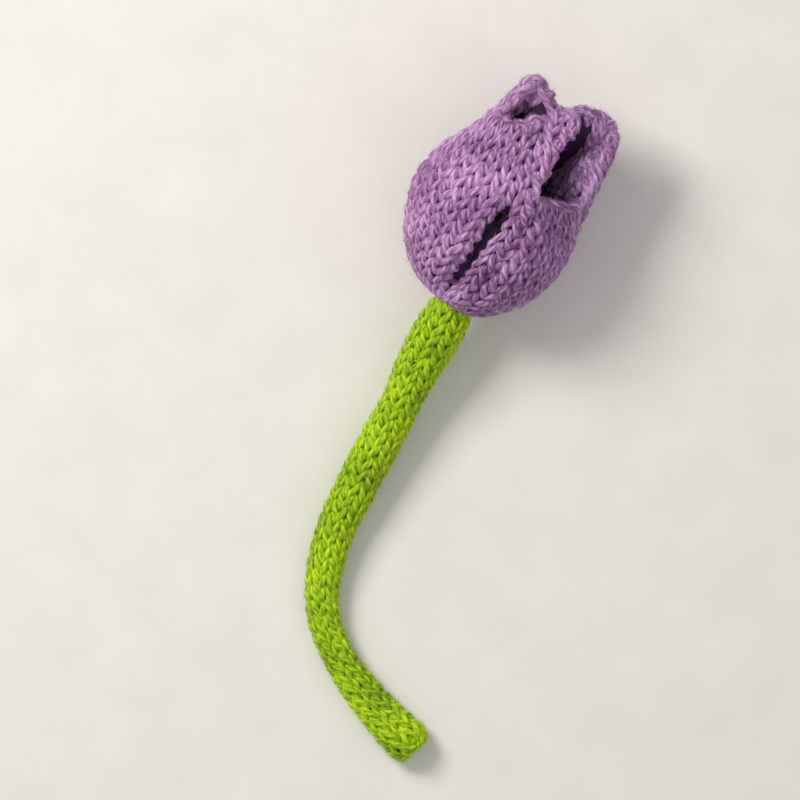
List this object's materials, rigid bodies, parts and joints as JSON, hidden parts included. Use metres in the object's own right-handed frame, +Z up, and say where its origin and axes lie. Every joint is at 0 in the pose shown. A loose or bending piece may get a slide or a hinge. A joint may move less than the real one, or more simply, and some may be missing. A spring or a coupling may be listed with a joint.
{
  "type": "knitted tulip",
  "caption": "Knitted yarn tulip lying on its side: a stuffed stockinette head with a gaping front seam and a rim pinched into two pockets, on a bent knitted cord stem.",
  "frame": {"origin": "on the table under the middle of the lying flower", "axes": "+Z up from the table; +Y along the flower's length, from the stem's cut end towards the head; +X to the right seen from above"},
  "size_m": [0.079, 0.1708, 0.0388],
  "materials": {
    "purple_yarn": "matte",
    "stuffing_fibre": "matte",
    "green_yarn": "matte",
    "core_pile": "matte"
  },
  "bodies": {
    "root": {"head_cover": "purple_yarn", "head_stuffing": "stuffing_fibre", "pinch_stitch": "purple_yarn", "stem_cover": "green_yarn", "stem_core": "core_pile"}
  },
  "joints": []
}
